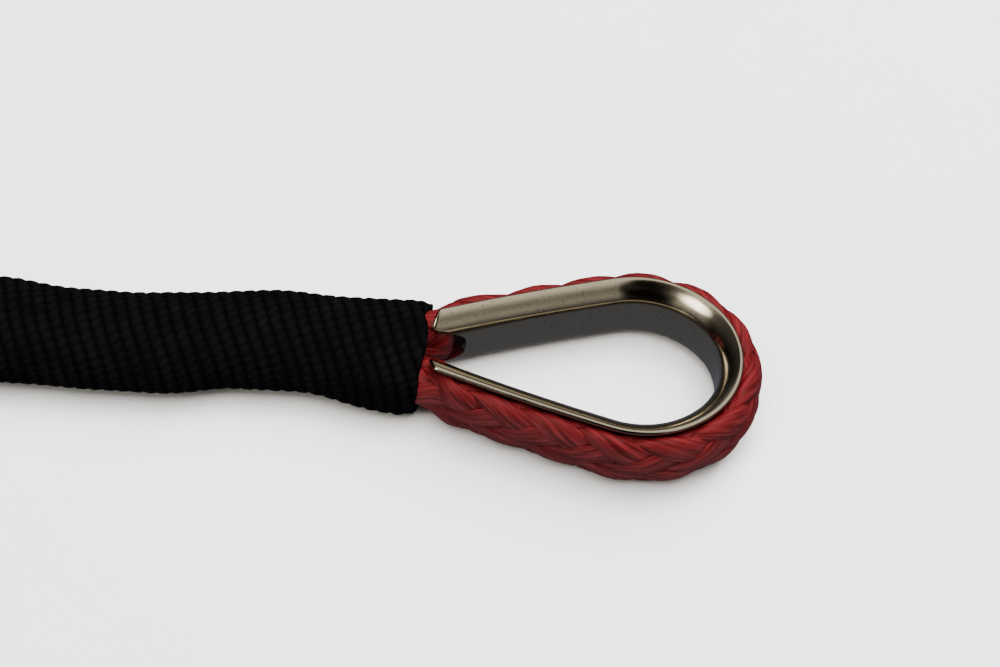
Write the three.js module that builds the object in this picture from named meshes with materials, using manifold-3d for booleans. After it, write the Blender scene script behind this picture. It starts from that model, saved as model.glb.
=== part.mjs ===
// Thimble eye of a 10 mm synthetic winch rope: a stainless thimble, the twelve-strand eye laid round
// it, the splice behind it, a sliding chafe sleeve, and the rope's length laid up in a tied hank.
// Millimetres, +Z up. The rope runs along X, the eye's crown points to +X, and the eye lies flat.

import * as THREE from "three";
import { mergeVertices } from "three/addons/utils/BufferGeometryUtils.js";
import Module from "manifold-3d";

const DEGREE = Math.PI / 180;

// Thimble: its bore line is a chain of arcs from the crown's tip to the arm's end.
const CROWN_TIP = 16.8; // from the widest place of the eye to the crown's tip
const CROWN_ARC = { radius: 13.73, turn: 45 * DEGREE };
const SHOULDER_ARC = { radius: 18.07, turn: 60.1 * DEGREE };
const ARM_ARC = { radius: 535, turn: 4.4 * DEGREE };
const BORE_LINE = [CROWN_ARC, SHOULDER_ARC, ARM_ARC];
const RIM_HEIGHT = 8.6; // from the eye's middle plane to either rim
const BASE_HALF = 5.1; // half width of the flat bottom of the groove
const FLARE_REACH = 4.25; // how far the flanges stand out from the bore
const SHEET = 1.25;
const RIM_LAND = 1.7; // flat edge of the sheet at each rim
const END_NOTCH = 7.5; // depth of the scallop in the bottom of the channel at each end
const NOTCH_HALF = 6.1; // half width of that scallop
const NOTCH_HEIGHTS = [3.9, 2.6, 1.3]; // of the section's points that follow the scallop
const THIMBLE_STEPS = 61; // odd, so that one flat facet faces the crown's middle

// Rope
const ROPE = 10;
const ROPE_OFFSET = 5.8; // from the bore to the middle of the rope in the groove
const THROAT_HALF_GAP = 4.35; // from the axis to the middle of each leg, at the throat
const THROAT_TURN_RADIUS = 40;
const LEG_RUN = 4; // straight stretch of each leg between the thimble and its turn
const THROAT_RUN = 8; // straight stretch of each leg that lies along the rope
const BRAID_PITCH = 72;
const STRANDS_PER_HAND = 6;
const STRAND = 0.95; // core of a strand: the soft yarn round it fills the space between the cores
const BRAID_LIFT = 1; // how far a strand rises and sinks as it passes over and under
const EYE_BRAID = { side: 2.4, upright: 5.1 }; // half axes of the braid's middle line
const THROAT_BRAID = { side: 2.5, upright: 3.3 };
const STRAND_STEPS = 58;

// Sleeve and splice, measured along X from the widest place of the eye
const SLEEVE_FRONT = -46.5;
const SLEEVE_LENGTH = 150;
const SLEEVE_HALF = { y: 12.6, z: 7.2 };
const SLEEVE_MOUTH = { widening: 1.1, length: 24 }; // its front end is spread over the two legs
const SLEEVE_WALL = 1.2;
const SLEEVE_TRAVEL = 50;
const SLEEVE_AXIS_Z = 7.3;
const SPLICE_LENGTH = 177.5;
const SPLICE_FRONT_HALF = { y: 9.3, z: 4.4 };
const SPLICE_BACK_HALF = ROPE / 2;
const TAIL_LENGTH = 150;
const TAIL_FRONT = 3.2; // radius of the buried tail at the throat
const TAIL_BACK = 1.3;
const GAP = 0.3; // clearance between touching pieces

// Hank: a flat-wound bundle of the rope, whose turns run straight along X and round at both ends
const HANK_COLUMNS = 3;
const HANK_ROWS = 9;
const HANK_RUN = 115; // straight part of each turn
const HANK_MEAN_RADIUS = 45; // of the turns' round ends
const HANK_FLOOR = 1.9; // the hank lies on its ties
const HANK_SIDE = 37.2; // from the rope's axis to the hank's middle line
const HANK_DISTANCE = 98; // from the splice back to the centre of the hank's near round end
const LEAVE = 5; // straight stretch of the free rope behind the splice
const APPROACH = 57; // length over which the free rope moves across to the hank's outer side
const TIE = { width: 10, thickness: 1, clearance: 0.8 };
const END = { shift: 43, lead: 8, shrink: 20 };
const LUG = { barrel: 24, radius: 6.8, bore: 5.3, palm: 20, width: 16, thickness: 3, hole: 4.2 };
const SHRINK_WALL = 0.6;

const wasm = await Module();
wasm.setup();

function material(color, roughness, metalness) {
  return new THREE.MeshStandardMaterial({ color, roughness, metalness });
}

const STEEL = material(0x9c9890, 0.2, 1);
const RED_BRAID = material(0x9a2228, 0.5, 0);
const BLACK_WEAVE = material(0x0d0d0f, 0.85, 0);
const TWINE = material(0x20100f, 0.7, 0);
const STRAP = material(0x1a1a1c, 0.9, 0);
const SHRINK = material(0x141416, 0.55, 0);
const TINNED = material(0xb9bcbe, 0.3, 1);

const root = new THREE.Group();
const eye = new THREE.Group();
const cord = new THREE.Group();
root.add(eye, cord);

function add(group, name, geometry, look) {
  const mesh = new THREE.Mesh(geometry, look);
  mesh.name = name;
  group.add(mesh);
  return mesh;
}

// Smooth step from 0 to 1 as value goes from low to high.
const ease = (value, low, high) => THREE.MathUtils.smoothstep(value, low, high);

// A closed body through loops of the same even length, each joined to the next. A cap at both ends
// joins the first half of its loop to the second, straight across. With joined true the last loop
// meets the first instead, as in a ring or a tube.
function loft(loops, joined = false) {
  const count = loops[0].length;
  const points = loops.flat();
  const index = [];
  const last = joined ? loops.length : loops.length - 1;
  for (let i = 0; i < last; i++) {
    const here = i * count;
    const next = ((i + 1) % loops.length) * count;
    for (let j = 0; j < count; j++) {
      const k = (j + 1) % count;
      index.push(here + j, next + j, next + k, here + j, next + k, here + k);
    }
  }
  if (!joined) {
    for (const [start, flip] of [[0, false], [last * count, true]]) {
      for (let j = 0; j < count / 2 - 1; j++) {
        const corners = [j, j + 1, count - 2 - j, count - 1 - j].map((k) => start + k);
        const [a, b, c, d] = flip ? corners.reverse() : corners;
        index.push(a, b, c, a, c, d);
      }
    }
  }
  const geometry = new THREE.BufferGeometry().setFromPoints(points);
  geometry.setIndex(index);
  geometry.computeVertexNormals();
  return geometry;
}

// The place and heading reached after a length along a chain of arcs and lines. It starts at the
// crown's tip, offset outwards from the bore, heading for +Y, and a positive turn is to the left.
function follow(chain, offset, length) {
  const at = { x: CROWN_TIP + offset, y: 0, heading: 90 * DEGREE };
  let left = Math.abs(length);
  for (const piece of chain) {
    const radius = piece.radius + offset * Math.sign(piece.radius) * (piece.fixed ? 0 : 1);
    const full = piece.line ?? Math.abs(radius) * piece.turn;
    const used = piece === chain.at(-1) ? left : Math.min(left, full);
    if (piece.line) {
      at.x += used * Math.cos(at.heading);
      at.y += used * Math.sin(at.heading);
    } else {
      const turned = at.heading + used / radius;
      at.x += radius * (Math.sin(turned) - Math.sin(at.heading));
      at.y -= radius * (Math.cos(turned) - Math.cos(at.heading));
      at.heading = turned;
    }
    left -= used;
    if (left <= 0) break;
  }
  const side = length < 0 ? -1 : 1;
  const place = new THREE.Vector3(at.x, side * at.y, 0);
  const outward = new THREE.Vector3(Math.sin(at.heading), -side * Math.cos(at.heading), 0);
  return { place, outward };
}

const chainLength = (chain, offset) =>
  chain.reduce((sum, p) => sum + (p.line ?? Math.abs(p.radius + (p.fixed ? 0 : offset)) * p.turn), 0);

// ---- Thimble: a flared channel swept along the bore line ----

// Its section, as distance out from the bore and height, from the upper rim down the bore side.
function thimbleSection() {
  const foot = BASE_HALF + 0.4;
  const bottom = (out) => NOTCH_HEIGHTS.map((up) => [out, up]);
  const bore = [[FLARE_REACH, RIM_HEIGHT], [0.45, foot], [0, BASE_HALF - 0.4], ...bottom(0)];
  const rim = [FLARE_REACH + RIM_LAND, RIM_HEIGHT];
  const groove = [rim, [SHEET + 0.35, BASE_HALF - 0.1], [SHEET, BASE_HALF - 0.8], ...bottom(SHEET)];
  const across = (points, out) => {
    const below = points.map(([far, up]) => [far, -up]).reverse();
    return [...points, [out, 0], ...below];
  };
  return [...across(bore, 0), ...across(groove, SHEET).reverse()];
}

// How far the channel reaches at a height: its bottom is scalloped and the rims' corners are round.
function thimbleReach(height) {
  const h = Math.abs(height);
  const scallop = 1 - Math.min(h / NOTCH_HALF, 1) ** 3;
  const corner = ease(h, NOTCH_HALF, RIM_HEIGHT);
  return chainLength(BORE_LINE, 0) - END_NOTCH * scallop - 2 * corner;
}

function thimbleGeometry() {
  const section = thimbleSection();
  const loops = Array.from({ length: THIMBLE_STEPS + 1 }, (_, i) => {
    const share = (2 * i) / THIMBLE_STEPS - 1;
    return section.map(([out, up]) => {
      const { place, outward } = follow(BORE_LINE, 0, share * thimbleReach(up));
      return place.addScaledVector(outward, out).setZ(up + RIM_HEIGHT);
    });
  });
  return loft(loops);
}

// ---- The eye's twelve strands ----

const ARM_SLOPE = CROWN_ARC.turn + SHOULDER_ARC.turn + ARM_ARC.turn - 90 * DEGREE;
const LEG_LINE = [
  ...BORE_LINE,
  { line: LEG_RUN },
  { radius: -THROAT_TURN_RADIUS, turn: ARM_SLOPE, fixed: true },
  { line: THROAT_RUN },
];
const LEG_LENGTH = chainLength(LEG_LINE, ROPE_OFFSET);

// One strand of a two-over, two-under braid. Hand +1 turns one way round the rope and -1 the other.
class Strand extends THREE.Curve {
  constructor(hand, number) {
    super();
    this.hand = hand;
    this.number = number;
  }

  getPoint(t, target = new THREE.Vector3()) {
    const s = (2 * t - 1) * LEG_LENGTH;
    const near = ease(Math.abs(s), LEG_LENGTH - 44, LEG_LENGTH - 22);
    const side = THREE.MathUtils.lerp(EYE_BRAID.side, THROAT_BRAID.side, near);
    const upright = THREE.MathUtils.lerp(EYE_BRAID.upright, THROAT_BRAID.upright, near);
    const share = this.number / STRANDS_PER_HAND + (this.hand * s) / BRAID_PITCH;
    const spread = (0.6 * (upright - side)) / (upright + side);
    const angle = 2 * Math.PI * share - spread * Math.sin(4 * Math.PI * share);
    const crossing = 2 * STRANDS_PER_HAND * share;
    const lift = this.hand * BRAID_LIFT * Math.cos((Math.PI / 2) * (crossing - 0.5));
    const normal = new THREE.Vector2(Math.cos(angle) / side, Math.sin(angle) / upright).normalize();
    const out = side * Math.cos(angle) + lift * normal.x;
    const up = upright * Math.sin(angle) + lift * normal.y;
    const { place, outward } = follow(LEG_LINE, ROPE_OFFSET, s);
    const middle = THREE.MathUtils.lerp(RIM_HEIGHT, SLEEVE_AXIS_Z, near);
    return target.copy(place).addScaledVector(outward, out).setZ(middle + up);
  }
}

function roundSection(radius, sides) {
  const corners = Array.from({ length: sides }, (_, i) => {
    const angle = (2 * Math.PI * i) / sides;
    return new THREE.Vector2(radius * Math.cos(angle), radius * Math.sin(angle));
  });
  return new THREE.Shape(corners);
}

function tube(path, radius, sides, steps) {
  return new THREE.ExtrudeGeometry(roundSection(radius, sides), { steps, extrudePath: path });
}

// ---- Splice, buried tail, whipping and sleeve ----

// An upright oval loop across the rope at x.
function oval(x, y, z, halfY, halfZ, sides = 24) {
  return Array.from({ length: sides }, (_, i) => {
    const angle = (2 * Math.PI * i) / sides;
    return new THREE.Vector3(x, y + halfY * Math.cos(angle), z - halfZ * Math.sin(angle));
  });
}

const SPLICE_FRONT = follow(LEG_LINE, ROPE_OFFSET, LEG_LENGTH).place.x - 1.2;
const SPLICE_BACK = SPLICE_FRONT - SPLICE_LENGTH;

const steps = (count) => Array.from({ length: count + 1 }, (_, i) => i / count);

// The tail enters beside the standing leg and settles on the rope's axis.
const tailSide = (share) => THROAT_HALF_GAP * (1 - ease(share, 0, 0.25));
const tailRadius = (share) => THREE.MathUtils.lerp(TAIL_FRONT, TAIL_BACK, ease(share, 0.2, 1));

function tailLoops(clearance, length) {
  return steps(12).map((share) => {
    const radius = tailRadius(share) + clearance;
    return oval(SPLICE_FRONT - share * length, tailSide(share), SLEEVE_AXIS_Z, radius, radius, 16);
  });
}

// The rope's own braid, swollen over the tail: an oval at the throat and round further back.
function spliceGeometry() {
  const outer = steps(14).map((share) => {
    const toRound = ease(share, 0, 0.22);
    const toRope = ease(share, 0.3, 0.85);
    const round = THREE.MathUtils.lerp(5.3, SPLICE_BACK_HALF, toRope);
    const halfY = THREE.MathUtils.lerp(SPLICE_FRONT_HALF.y, round, toRound);
    const halfZ = THREE.MathUtils.lerp(SPLICE_FRONT_HALF.z, round, toRound);
    return oval(SPLICE_FRONT - share * SPLICE_LENGTH, 0, SLEEVE_AXIS_Z, halfY, halfZ, 16);
  });
  return loft([...outer.reverse(), ...tailLoops(GAP, TAIL_LENGTH + 1)]);
}

function tailGeometry() {
  return loft(tailLoops(0, TAIL_LENGTH).reverse());
}

function whippingGeometry() {
  const halfY = SPLICE_FRONT_HALF.y + GAP;
  const halfZ = SPLICE_FRONT_HALF.z + GAP;
  const ring = (x, grow) => oval(x, 0, SLEEVE_AXIS_Z, halfY + grow, halfZ + grow);
  const front = SPLICE_FRONT - 1;
  const back = front - 7;
  return loft([ring(back, 0), ring(back, 0.7), ring(front, 0.7), ring(front, 0)], true);
}

function sleeveGeometry() {
  const front = SLEEVE_FRONT;
  const ring = (x, inset) => {
    const wider = SLEEVE_MOUTH.widening * ease(x, front - SLEEVE_MOUTH.length, front - 2);
    return oval(x, 0, SLEEVE_AXIS_Z, SLEEVE_HALF.y + wider - inset, SLEEVE_HALF.z - inset, 36);
  };
  const back = front - SLEEVE_LENGTH;
  const round = SLEEVE_WALL / 2;
  const stations = [back + round, back / 2 + front / 2, front - 24, front - 18, front - 12, front - 6, front - round];
  const outer = [ring(back, round), ...stations.map((x) => ring(x, 0)), ring(front, round)];
  const inner = stations.map((x) => ring(x, SLEEVE_WALL)).reverse();
  return loft([...outer, ...inner], true);
}

// ---- Hank, ties and the rope's end ----

const HANK_HALF = { across: (HANK_COLUMNS * ROPE) / 2, up: (HANK_ROWS * ROPE) / 2 };
const HANK_TOP = HANK_FLOOR + HANK_ROWS * ROPE;
const HANK_NEAR = SPLICE_BACK - HANK_DISTANCE;
const HANK_FAR = HANK_NEAR - HANK_RUN;

// A place on the hank at a radius from its round ends' centres: degrees past the near end's -Y side,
// clockwise, count for the two half turns, and the straight runs lie between them.
function onHank(radius, degrees, z) {
  const centre = degrees > -90 ? HANK_NEAR : HANK_FAR;
  const angle = degrees * DEGREE;
  return new THREE.Vector3(centre + radius * Math.cos(angle), HANK_SIDE + radius * Math.sin(angle), z);
}

// A closed ring whose section has the rope's own rounding at its corners, carried round the hank.
function hankGeometry() {
  const bend = ROPE / 2;
  const section = roundedBox(HANK_HALF.across, HANK_HALF.up, bend, THREE.Shape).getPoints(2);
  const middle = HANK_FLOOR + HANK_HALF.up;
  const bends = steps(12).map((share) => 90 - 180 * share);
  const degrees = [...bends.slice(0, -1), -89.999, ...bends.map((angle) => angle - 180)];
  const loops = degrees.map((angle) =>
    section.slice(0, -1).map((p) => onHank(HANK_MEAN_RADIUS + p.x, angle, middle - p.y)),
  );
  return loft(loops, true);
}

function roundedBox(halfX, halfY, bend, Path) {
  const path = new Path();
  const [x, y] = [halfX - bend, halfY - bend];
  path.moveTo(x, -halfY);
  path.absarc(x, -y, bend, -90 * DEGREE, 0);
  path.absarc(x, y, bend, 0, 90 * DEGREE);
  path.absarc(-x, y, bend, 90 * DEGREE, 180 * DEGREE);
  path.absarc(-x, -y, bend, 180 * DEGREE, 270 * DEGREE);
  return path;
}

// A strap closed round the hank's section.
function tieGeometry() {
  const band = (grow, Path) =>
    roundedBox(HANK_HALF.across + grow, HANK_HALF.up + grow, ROPE / 2 + grow - TIE.clearance, Path);
  const shape = band(TIE.clearance + TIE.thickness, THREE.Shape);
  shape.holes.push(band(TIE.clearance, THREE.Path));
  const strap = { depth: TIE.width, bevelEnabled: false, curveSegments: 4 };
  return new THREE.ExtrudeGeometry(shape, strap).translate(0, 0, -TIE.width / 2).rotateX(90 * DEGREE);
}

function solidOf(geometry) {
  const bare = geometry.clone();
  bare.deleteAttribute("normal");
  bare.deleteAttribute("uv");
  const merged = mergeVertices(bare, 1e-4);
  const triVerts = new Uint32Array(merged.index.array);
  return new wasm.Manifold(
    new wasm.Mesh({ numProp: 3, vertProperties: merged.attributes.position.array, triVerts }),
  );
}

function geometryOf(solid) {
  const mesh = solid.getMesh();
  const geometry = new THREE.BufferGeometry();
  geometry.setAttribute("position", new THREE.BufferAttribute(mesh.vertProperties, 3));
  geometry.setIndex(new THREE.BufferAttribute(mesh.triVerts, 1));
  geometry.computeVertexNormals();
  return geometry;
}

// A tubular cable lug along +X: its barrel starts at x = 0 and its palm carries the bolt hole.
function lugGeometry() {
  const inner = LUG.bore;
  const { barrel: mouth, radius } = LUG;
  const outline = [[0, -2], [radius, -2], [radius, mouth], [inner, mouth], [inner, 2], [0, 2]];
  const points = outline.map(([r, x]) => new THREE.Vector2(r, x));
  const barrel = new THREE.LatheGeometry(points, 24).rotateZ(90 * DEGREE);
  barrel.translate(LUG.barrel, 0, 0);
  const end = LUG.barrel + LUG.palm - LUG.width / 2;
  const palm = new THREE.Shape();
  palm.moveTo(LUG.barrel - 1, -LUG.radius);
  palm.lineTo(end, -LUG.width / 2);
  palm.absarc(end, 0, LUG.width / 2, -90 * DEGREE, 90 * DEGREE);
  palm.lineTo(LUG.barrel - 1, LUG.radius);
  const hole = new THREE.Path().absarc(end, 0, LUG.hole, 0, 360 * DEGREE);
  palm.holes.push(hole);
  const plate = new THREE.ExtrudeGeometry(palm, {
    depth: LUG.thickness,
    bevelEnabled: false,
    curveSegments: 10,
  }).translate(0, 0, -LUG.thickness / 2);
  return geometryOf(solidOf(barrel).add(solidOf(plate)));
}

function shrinkGeometry() {
  const inner = ROPE / 2 + GAP;
  const outer = inner + SHRINK_WALL;
  const outline = [[inner, 0], [outer, 0], [outer, END.shrink], [inner, END.shrink], [inner, 0]];
  const points = outline.map(([r, x]) => new THREE.Vector2(r, x));
  return new THREE.LatheGeometry(points, 20).rotateZ(-90 * DEGREE);
}

// The rope's end comes up on top of the hank over its near end, moves over the middle of its run and
// goes straight on into its lug.
const END_Z = HANK_TOP + GAP + LUG.radius;
const END_SIDE = HANK_SIDE - HANK_MEAN_RADIUS;
const endAt = (distance) => new THREE.Vector3(HANK_NEAR - END.shift - distance, END_SIDE, END_Z);

function endPath() {
  const across = steps(5).map((share) => {
    const moved = ease(share, 0, 1);
    const y = END_SIDE + ROPE * (1 - moved);
    const z = THREE.MathUtils.lerp(HANK_TOP + GAP + ROPE / 2, END_Z, moved);
    return new THREE.Vector3(HANK_NEAR - share * END.shift, y, z);
  });
  const depth = END.lead + END.shrink + LUG.barrel - 2 - GAP;
  const straight = [END.lead / 2, END.lead, depth / 2, depth].map(endAt);
  return new THREE.CatmullRomCurve3([...across, ...straight]);
}

// From the splice the rope moves across to the hank's outer side and runs along it.
function approachPath() {
  const start = SPLICE_BACK - GAP - LEAVE;
  const radius = HANK_MEAN_RADIUS + HANK_HALF.across - ROPE / 2;
  const points = steps(6).map((share) => {
    const moved = ease(share, 0, 1);
    const z = THREE.MathUtils.lerp(SLEEVE_AXIS_Z, HANK_FLOOR + ROPE / 2 + 0.2, moved);
    return new THREE.Vector3(start - share * APPROACH, (HANK_SIDE - radius) * moved, z);
  });
  points.unshift(new THREE.Vector3(SPLICE_BACK - GAP, 0, SLEEVE_AXIS_Z));
  // It meets the hank's round end where the two surfaces are a gap apart.
  const outer = radius + ROPE / 2;
  const meet = Math.sqrt(outer ** 2 - (radius - ROPE / 2) ** 2) + 2 * GAP;
  points.push(new THREE.Vector3(HANK_NEAR + meet, HANK_SIDE - radius, HANK_FLOOR + ROPE / 2 + 0.2));
  return new THREE.CatmullRomCurve3(points);
}

// ---- Assembly ----

add(eye, "thimble", thimbleGeometry(), STEEL);
for (let number = 0; number < STRANDS_PER_HAND; number++) {
  for (const [hand, letter] of [[1, "s"], [-1, "z"]]) {
    const path = new Strand(hand, number);
    path.arcLengthDivisions = 400;
    const name = `eye_strand_${letter}${number + 1}`;
    add(eye, name, tube(path, STRAND / 2, 6, STRAND_STEPS), RED_BRAID);
  }
}
add(eye, "splice_outer_braid", spliceGeometry(), RED_BRAID);
add(eye, "buried_tail", tailGeometry(), RED_BRAID);
add(eye, "throat_whipping", whippingGeometry(), TWINE);
add(eye, "chafe_sleeve", sleeveGeometry(), BLACK_WEAVE);

add(cord, "free_rope", tube(approachPath(), ROPE / 2, 12, 14), RED_BRAID);
add(cord, "rope_hank", hankGeometry(), RED_BRAID);
const TIE_PLACES = [
  { angle: 50, at: onHank(HANK_MEAN_RADIUS, 50, 0) },
  { angle: 90, at: onHank(HANK_MEAN_RADIUS, 90, 0).setX((HANK_NEAR + HANK_FAR) / 2) },
  { angle: 180, at: onHank(HANK_MEAN_RADIUS, -180, 0) },
];
TIE_PLACES.forEach(({ angle, at }, i) => {
  const tie = add(cord, `hank_tie_${i + 1}`, tieGeometry(), STRAP);
  tie.position.copy(at).setZ(HANK_FLOOR + HANK_HALF.up);
  tie.rotation.z = angle * DEGREE;
});
add(cord, "rope_end", tube(endPath(), ROPE / 2, 10, 16), RED_BRAID);

const shrink = add(cord, "end_heat_shrink", shrinkGeometry(), SHRINK);
shrink.position.copy(endAt(END.lead));
shrink.rotation.z = 180 * DEGREE;
const lug = add(cord, "terminal_lug", lugGeometry(), TINNED);
lug.position.copy(endAt(END.lead + END.shrink + GAP));
lug.rotation.z = 180 * DEGREE;

// The origin is under the middle of the eye, its splice and its sleeve, without the free cord.
const span = new THREE.Box3().setFromObject(eye);
root.position.set(-(span.min.x + span.max.x) / 2, 0, -span.min.z);

export default root;
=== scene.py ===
"""Thimble eye of a 10 mm synthetic winch rope, and the looks of each of its pieces.

A polished stainless thimble holds the eye of a red twelve-strand rope. Both legs of the eye go into
a splice under twine, a black woven sleeve slides over it, and the rope's length lies in a tied hank
that ends in a crimped lug. Metres, +Z up: the rope runs along X and the eye's crown points to +X.
"""

import math

import bpy
import numpy as np
from mathutils import Matrix, Vector


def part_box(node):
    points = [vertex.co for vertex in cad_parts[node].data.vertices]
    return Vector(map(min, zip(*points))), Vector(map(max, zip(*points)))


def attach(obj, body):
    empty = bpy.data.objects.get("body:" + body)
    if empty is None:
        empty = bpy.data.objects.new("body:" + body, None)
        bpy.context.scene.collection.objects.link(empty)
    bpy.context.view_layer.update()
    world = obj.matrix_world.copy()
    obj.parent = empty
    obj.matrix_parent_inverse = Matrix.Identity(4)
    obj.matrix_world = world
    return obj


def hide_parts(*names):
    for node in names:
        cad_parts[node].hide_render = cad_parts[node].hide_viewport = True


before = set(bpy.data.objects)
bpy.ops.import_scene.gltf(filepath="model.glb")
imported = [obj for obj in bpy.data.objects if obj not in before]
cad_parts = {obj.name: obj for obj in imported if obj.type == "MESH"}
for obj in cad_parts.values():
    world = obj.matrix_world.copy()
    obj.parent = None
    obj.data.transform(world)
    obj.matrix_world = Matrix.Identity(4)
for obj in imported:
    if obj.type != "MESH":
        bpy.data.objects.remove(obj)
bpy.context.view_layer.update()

MM = 0.001
RIGHT_ANGLE = math.pi / 2

# ---- Sizes of the real object ----

# Bore line of the thimble, from the crown's tip to the arm's end: (kind, radius or length, turn).
CROWN_TIP = 16.8 * MM
BORE_LINE = [
    ("arc", 13.73 * MM, math.radians(45)),
    ("arc", 18.07 * MM, math.radians(60.1)),
    ("arc", 535 * MM, math.radians(4.4)),
]
ARM_SLOPE = sum(turn for _, _, turn in BORE_LINE) - RIGHT_ANGLE
# The rope's legs go on past the thimble, turn back to the axis and lie side by side in the throat.
LEG_LINE = [*BORE_LINE, ("line", 4 * MM, 0), ("bend", 40 * MM, ARM_SLOPE), ("line", 8 * MM, 0)]
RIM_HEIGHT = 8.6 * MM
SHEET = 1.2 * MM

ROPE = 10 * MM
BRAID_PITCH = 72 * MM
STRANDS_PER_HAND = 6
EYE_OFFSET = 5.7 * MM  # from the bore to the middle of the rope in the groove
EYE_HALF = (1.95 * MM, 5.8 * MM)  # half axes of the oval that the strands weave about
THROAT_HALF = (2.5 * MM, 3.3 * MM)
STRAND_HALF = (2.25 * MM, 0.9 * MM)  # half width and half thickness of a flattened strand
STRAND_LIFT = 0.72 * MM
THROAT_ASIDE = 0.9 * MM  # the throat lies a little off the axis, towards +Y

# ---- Places, from the frame ----

SLEEVE_LOW, SLEEVE_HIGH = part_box("chafe_sleeve")
SPLICE_LOW, SPLICE_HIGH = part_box("splice_outer_braid")
WHIPPING_LOW, WHIPPING_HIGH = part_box("throat_whipping")
TAIL_LOW, TAIL_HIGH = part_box("buried_tail")
HANK_LOW, HANK_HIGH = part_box("rope_hank")
EYE_X = SLEEVE_HIGH.x + 46.5 * MM  # the widest place of the eye
AXIS_Z = (SPLICE_LOW.z + SPLICE_HIGH.z) / 2


def chain_length(chain, offset):
    """Length of a chain of arcs and lines, where each arc's radius grows by the offset."""
    grown = {"arc": offset, "bend": 0, "line": 0}
    return sum((size + grown[kind]) * (turn if kind != "line" else 1) for kind, size, turn in chain)


def follow(chain, offset, length):
    """Places and outward directions at signed lengths along a chain that starts at the crown's tip.

    The walk starts offset outwards from the tip, heading for +Y. An arc turns left with its radius
    grown by the offset, a bend turns right with its own radius, and a line goes straight on, the
    last one without end. A negative length is the same walk mirrored in Y.
    """
    length = np.asarray(length, float)
    left = np.abs(length)
    x = np.full(left.shape, EYE_X + CROWN_TIP + offset)
    y = np.zeros(left.shape)
    heading = np.full(left.shape, RIGHT_ANGLE)
    for kind, size, turn in chain:
        radius = size + offset if kind == "arc" else -size
        full = size if kind == "line" else abs(radius) * turn
        used = left if (kind, size, turn) == chain[-1] else np.minimum(left, full)
        if kind == "line":
            x = x + used * np.cos(heading)
            y = y + used * np.sin(heading)
        else:
            turned = heading + used / radius
            x = x + radius * (np.sin(turned) - np.sin(heading))
            y = y - radius * (np.cos(turned) - np.cos(heading))
            heading = turned
        left = left - used
    side = np.where(length < 0, -1.0, 1.0)
    return np.stack([x, side * y], -1), np.stack([np.sin(heading), -side * np.cos(heading)], -1)


def ease(value, low, high):
    """Smooth step from 0 to 1 as the value goes from low to high."""
    t = np.clip((np.asarray(value, float) - low) / (high - low), 0, 1)
    return t * t * (3 - 2 * t)


def swell(value, rise, fall):
    """Smooth step up from 0 to 1 over one stretch and down to 0 again over another."""
    return ease(value, *rise) * (1 - ease(value, *fall))


def mix(a, b, share):
    return a + (b - a) * share


def wave(value, lengths, seed):
    """A smooth random swing about 0: the mean of one sine for each wavelength, at random phases."""
    phases = np.random.default_rng(seed).uniform(0, 2 * math.pi, len(lengths))
    sines = [np.sin(2 * math.pi * value / length + phase) for length, phase in zip(lengths, phases)]
    return sum(sines) / len(lengths)


def surface(name, points, material, uv=None, ring=False, facing=None):
    """A closed mesh through a grid of points: rows along the piece and columns round it.

    The last column joins the first. With ring the last row joins the first too, and otherwise each
    end is closed by a fan to its middle. uv holds a pair for each corner of the grid's faces, with
    the first column, and on a ring the first row, given again at the end. facing holds one number
    for each point, kept on the mesh as the attribute of that name.
    """
    rows, columns = points.shape[:2]
    spans = rows if ring else rows - 1
    i, j = np.meshgrid(np.arange(spans), np.arange(columns), indexing="ij")
    near, far = i * columns, (i + 1) % rows * columns
    after = (j + 1) % columns
    quads = np.stack([near + j, near + after, far + after, far + j], -1).reshape(-1, 4)
    vertices = points.reshape(-1, 3)
    corners = quads.ravel()
    starts = np.arange(len(quads)) * 4
    if not ring:
        hubs = np.stack([points[0].mean(0), points[-1].mean(0)])
        vertices = np.concatenate([vertices, hubs])
        start, end = rows * columns, (rows - 1) * columns
        here, beside = np.arange(columns), (np.arange(columns) + 1) % columns
        first = np.stack([np.full(columns, start), beside, here], -1)
        last = np.stack([np.full(columns, start + 1), end + here, end + beside], -1)
        fans = np.concatenate([first, last]).ravel()
        starts = np.concatenate([starts, len(corners) + np.arange(2 * columns) * 3])
        corners = np.concatenate([corners, fans])
    mesh = bpy.data.meshes.new(name)
    mesh.vertices.add(len(vertices))
    mesh.vertices.foreach_set("co", vertices.astype(np.float32).ravel())
    mesh.loops.add(len(corners))
    mesh.loops.foreach_set("vertex_index", corners.astype(np.int32))
    mesh.polygons.add(len(starts))
    mesh.polygons.foreach_set("loop_start", starts.astype(np.int32))
    mesh.update(calc_edges=True)
    mesh.shade_smooth()
    if uv is not None:
        pairs = np.stack([uv[:-1, :-1], uv[:-1, 1:], uv[1:, 1:], uv[1:, :-1]], 2).reshape(-1, 2)
        rest = len(corners) - len(pairs)
        pairs = np.concatenate([pairs, np.tile(uv[0, 0], (rest, 1))])
        mesh.uv_layers.new(name="weave").data.foreach_set("uv", pairs.astype(np.float32).ravel())
    if facing is not None:
        values = np.concatenate([facing.ravel(), np.zeros(len(vertices) - rows * columns)])
        attribute = mesh.attributes.new("facing", "FLOAT", "POINT")
        attribute.data.foreach_set("value", values.astype(np.float32))
    mesh.materials.append(material)
    piece = bpy.data.objects.new(name, mesh)
    bpy.context.scene.collection.objects.link(piece)
    return piece


def stand_for(piece, body, slot, *nodes):
    """Ties a piece to its body and hides the CAD nodes that it stands for. The slot is not used."""
    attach(piece, body)
    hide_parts(*nodes)
    return piece


# ---- Materials ----


def colour(code):
    """Linear colour from an sRGB hex code."""
    parts = [int(code[i : i + 2], 16) / 255 for i in (1, 3, 5)]
    return [c / 12.92 if c <= 0.04045 else ((c + 0.055) / 1.055) ** 2.4 for c in parts] + [1]


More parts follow.
